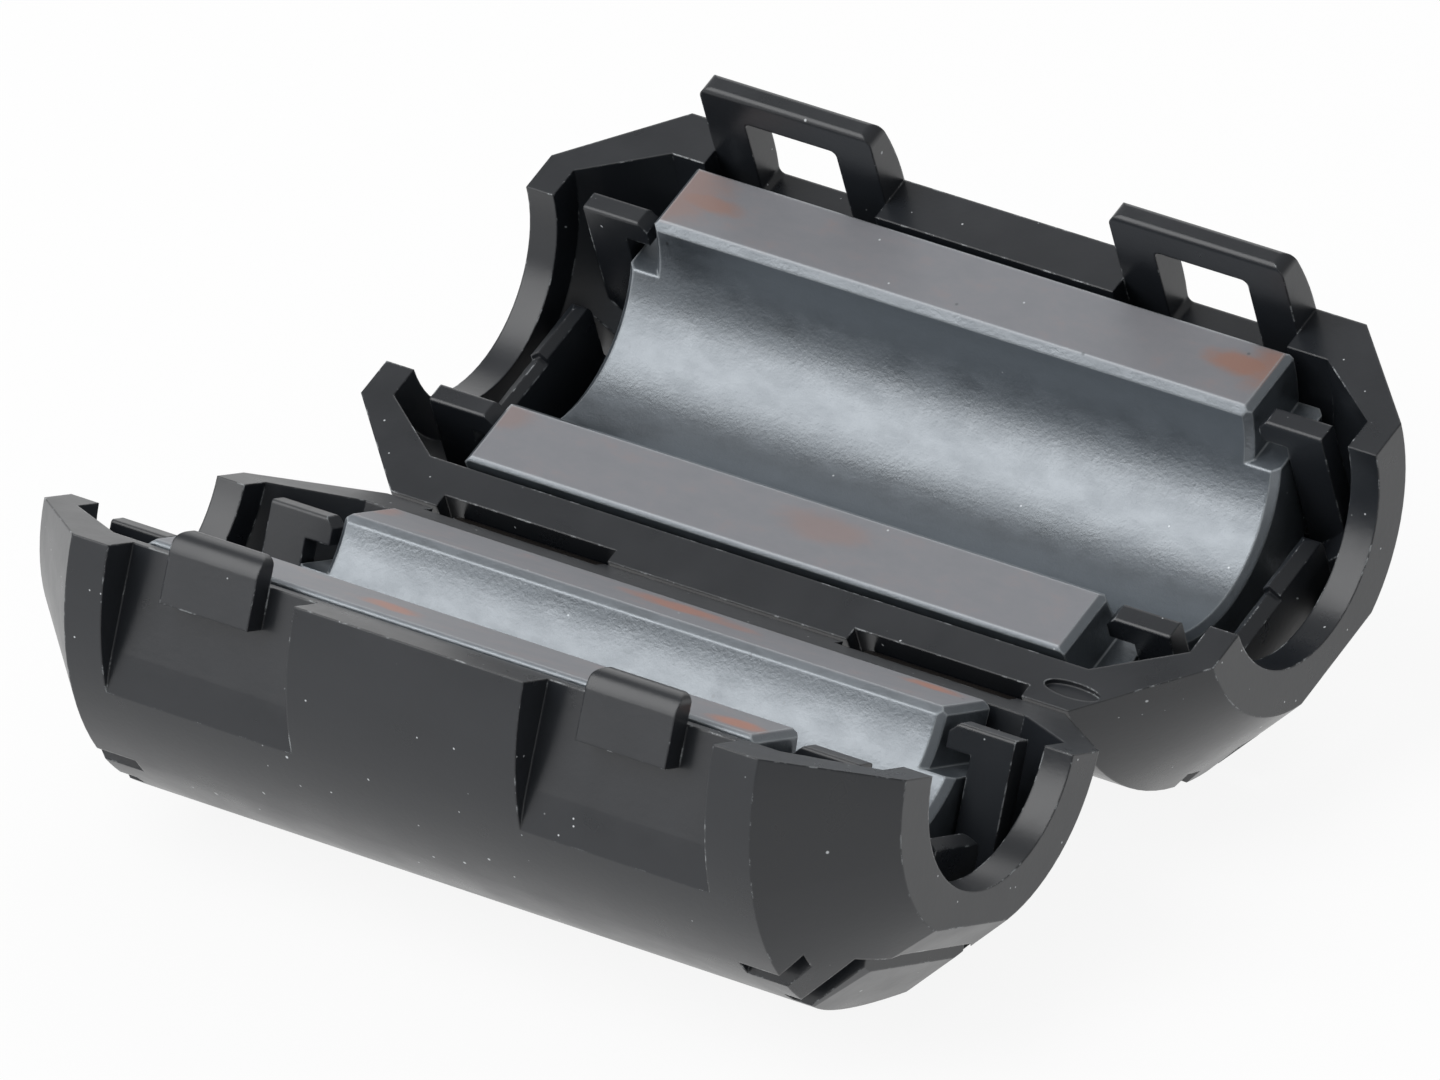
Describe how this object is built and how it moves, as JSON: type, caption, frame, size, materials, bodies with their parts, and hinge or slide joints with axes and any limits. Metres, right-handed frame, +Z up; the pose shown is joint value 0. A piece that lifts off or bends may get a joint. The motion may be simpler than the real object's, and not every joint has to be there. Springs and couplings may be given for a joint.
{
  "type": "clip-on ferrite clamp",
  "caption": "Round clip-on cable suppressor, opened: a hinged plastic case with latch loops and catches, holding a half ring of ferrite in each shell.",
  "frame": {"origin": "centre of the footprint of the opened clamp, on the surface that it stands on", "axes": "+X along the cable, +Y toward the shell with the latch loops, +Z up"},
  "size_m": [0.035, 0.038, 0.0157],
  "materials": {
    "case": "satin moulded polyamide",
    "strap": "thin polyamide film",
    "ferrite": "ground and tumbled sintered ceramic"
  },
  "bodies": {
    "latch_half": {"latch_shell": "case", "latch_side_core": "ferrite", "hinge_strap_left": "strap", "hinge_strap_right": "strap"},
    "catch_half": {"catch_shell": "case", "catch_side_core": "ferrite"}
  },
  "joints": [
    {"name": "living_hinge", "type": "hinge", "parent": "latch_half", "child": "catch_half", "pos_m": [0, 0, 0.0064], "axis": [1, 0, 0], "range_deg": [-140, 40], "deforming": ["hinge_strap_left", "hinge_strap_right"]}
  ]
}
